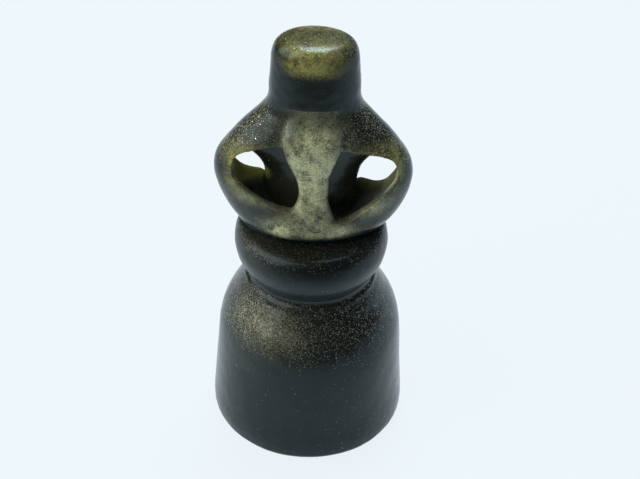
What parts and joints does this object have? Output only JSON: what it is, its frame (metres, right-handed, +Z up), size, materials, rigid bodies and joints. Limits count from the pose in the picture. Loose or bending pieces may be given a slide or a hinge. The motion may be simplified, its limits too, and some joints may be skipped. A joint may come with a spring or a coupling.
{
  "type": "fertility doll",
  "caption": "Small free-standing abstract doll carved from one block of dark translucent stone: bell skirt, neck groove, collar, pierced arms round a core, and an oval head.",
  "frame": {"origin": "centre of the flat foot, on the surface that the doll stands on", "axes": "+Z up to the head; -Y is the front, which the wide face of the torso and the front strut look to; +X to the right as seen from the front"},
  "size_m": [0.027, 0.027, 0.0615],
  "materials": {
    "stone": "polished dark olive-brown stone, slightly translucent, with fine golden flecks"
  },
  "bodies": {
    "root": {"skirt": "stone", "neck": "stone", "collar": "stone", "hips": "stone", "core": "stone", "front_strut": "stone", "back_strut": "stone", "left_arm": "stone", "right_arm": "stone", "shoulders": "stone", "head": "stone"}
  },
  "joints": []
}
